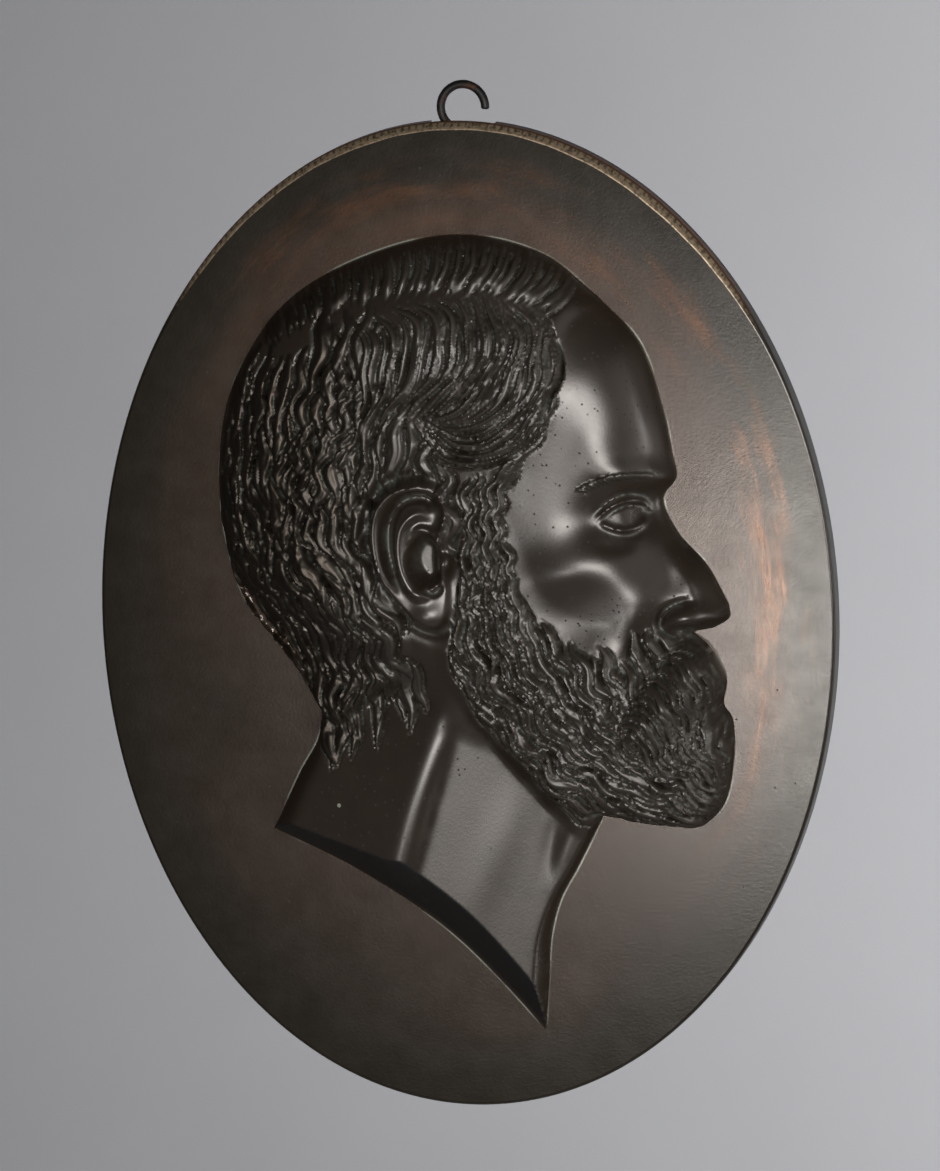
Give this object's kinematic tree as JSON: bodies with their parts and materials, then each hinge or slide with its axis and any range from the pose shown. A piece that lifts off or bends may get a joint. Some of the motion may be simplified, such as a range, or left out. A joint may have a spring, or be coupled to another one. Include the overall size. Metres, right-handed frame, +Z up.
{
  "type": "relief plaque",
  "caption": "Oval cast bronze wall plaque with a bearded man's head in profile in high relief, hung from a bent iron screw hook behind its top edge.",
  "frame": {"origin": "the nail's bearing point: the top of the inside of the hook's ring, in the middle plane of its wire", "axes": "+Z up along the oval's long axis as it hangs, +X to the right seen from the front, the relief faces -Y and the flat back faces +Y"},
  "size_m": [0.36, 0.056, 0.4976],
  "materials": {
    "patinated_bronze": "dark brown patinated cast bronze, rubbed to copper round the head, with bare file marks along the top edge and pale green deposit in the hollows",
    "dark_iron": "dark, lightly rusted iron wire"
  },
  "bodies": {
    "root": {"bronze_casting": "patinated_bronze", "iron_screw_hook": "dark_iron"}
  },
  "joints": []
}
